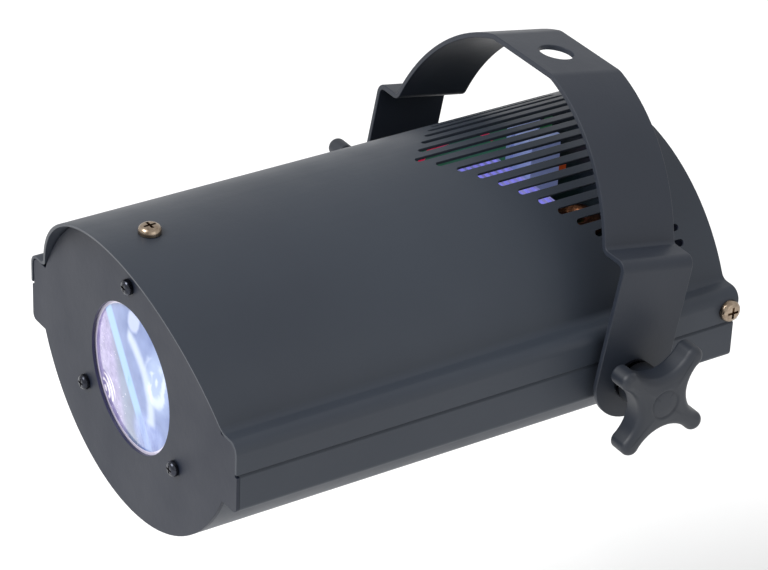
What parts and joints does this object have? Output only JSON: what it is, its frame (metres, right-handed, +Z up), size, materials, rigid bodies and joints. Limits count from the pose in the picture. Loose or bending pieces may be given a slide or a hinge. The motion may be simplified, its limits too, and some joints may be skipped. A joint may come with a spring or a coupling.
{
  "type": "stage spotlight",
  "caption": "Compact effect spotlight: louvred arched sheet housing with a round lens on a tilting U yoke, clamped by star knobs.",
  "frame": {"origin": "centre of the lens opening in the middle of the front plate's thickness", "axes": "+X to the side with the nearer knob, -Y out of the lens along the optical axis, +Z up"},
  "size_m": [0.2, 0.2259, 0.1434],
  "materials": {
    "shell_paint": "satin powder coat",
    "yoke_paint": "satin powder coat",
    "plate_paint": "satin powder coat",
    "nickel": "plated",
    "black_zinc": "blackened",
    "zinc": "zinc plated",
    "glass_lens": "polished, coated",
    "black_plastic": "moulded",
    "grip_plastic": "fine moulded texture",
    "white_board": "solder mask",
    "led_epoxy": "clear epoxy",
    "dichroic": "coated facets",
    "white_plastic": "moulded",
    "green_board": "solder mask",
    "bare_alu": "extruded",
    "blue_tape": "taped winding",
    "can_blue": "sleeved",
    "copper": "enamelled copper",
    "orange_plastic": "moulded",
    "rubber_black": "soft",
    "fuse_glass": "clear",
    "wire_red": "insulation",
    "wire_black": "insulation"
  },
  "bodies": {
    "yoke": {"yoke": "yoke_paint"},
    "head": {"cover": "shell_paint", "tray": "shell_paint", "front_plate": "plate_paint", "rear_panel": "shell_paint", "cover_screws": "nickel", "front_screws": "black_zinc", "inlet_screws": "nickel", "cover_nuts": "zinc", "lens_barrel": "black_plastic", "lens": "glass_lens", "lens_clip": "zinc", "led_posts": "zinc", "led_board": "white_board", "leds": "led_epoxy", "motor": "zinc", "motor_bracket": "zinc", "motor_screws": "nickel", "main_board": "green_board", "board_bracket": "zinc", "heatsink": "bare_alu", "transformer": "blue_tape", "capacitors": "can_blue", "choke": "copper", "board_parts": "orange_plastic", "inlet": "black_plastic", "inlet_pins": "zinc", "fuse_holder": "black_plastic", "sensor_pot": "zinc", "sensor_nut": "zinc", "microphone": "zinc", "wires_red": "wire_red", "wires_black": "wire_black", "pivot_nuts": "zinc", "pivot_bushes": "rubber_black"},
    "dish": {"mirror_dish": "dichroic", "dish_hub": "white_plastic", "motor_shaft": "zinc"},
    "sensor_knob": {"sensor_knob": "black_plastic"},
    "fuse_cap": {"fuse_cap": "black_plastic", "fuse": "fuse_glass"},
    "right_washer": {"washer_right": "black_zinc"},
    "left_washer": {"washer_left": "black_zinc"},
    "right_knob": {"knob_right": "grip_plastic", "stud_right": "zinc"},
    "left_knob": {"knob_left": "grip_plastic", "stud_left": "zinc"}
  },
  "joints": [
    {"name": "head_tilt", "type": "hinge", "parent": "yoke", "child": "head", "pos_m": [0, 0.1583, -0.0047], "axis": [1, 0, 0], "range_deg": [-40, 30]},
    {"name": "dish_spin", "type": "hinge", "parent": "head", "child": "dish", "pos_m": [0, 0.08, 0], "axis": [0, -1, 0], "continuous": true},
    {"name": "right_washer_slide", "type": "slide", "parent": "head", "child": "right_washer", "axis": [1, 0, 0], "range_m": [0, 0.0015]},
    {"name": "right_knob_turn", "type": "hinge", "parent": "right_washer", "child": "right_knob", "pos_m": [0.09, 0.1583, -0.0047], "axis": [1, 0, 0], "range_deg": [0, 541]},
    {"name": "left_washer_slide", "type": "slide", "parent": "head", "child": "left_washer", "axis": [-1, 0, 0], "range_m": [0, 0.0015]},
    {"name": "left_knob_turn", "type": "hinge", "parent": "left_washer", "child": "left_knob", "pos_m": [-0.09, 0.1583, -0.0047], "axis": [-1, 0, 0], "range_deg": [0, 541]},
    {"name": "sensor_knob_turn", "type": "hinge", "parent": "head", "child": "sensor_knob", "pos_m": [-0.046, 0.205, -0.0064], "axis": [0, -1, 0], "range_deg": [-150, 150]},
    {"name": "fuse_cap_pull", "type": "slide", "parent": "head", "child": "fuse_cap", "axis": [0, 1, 0], "range_m": [0, 0.04]}
  ],
  "couplings": [
    {"joint": "right_knob_turn", "follows": "right_washer_slide", "rad_per_m": 6283.2},
    {"joint": "left_knob_turn", "follows": "left_washer_slide", "rad_per_m": 6283.2}
  ]
}
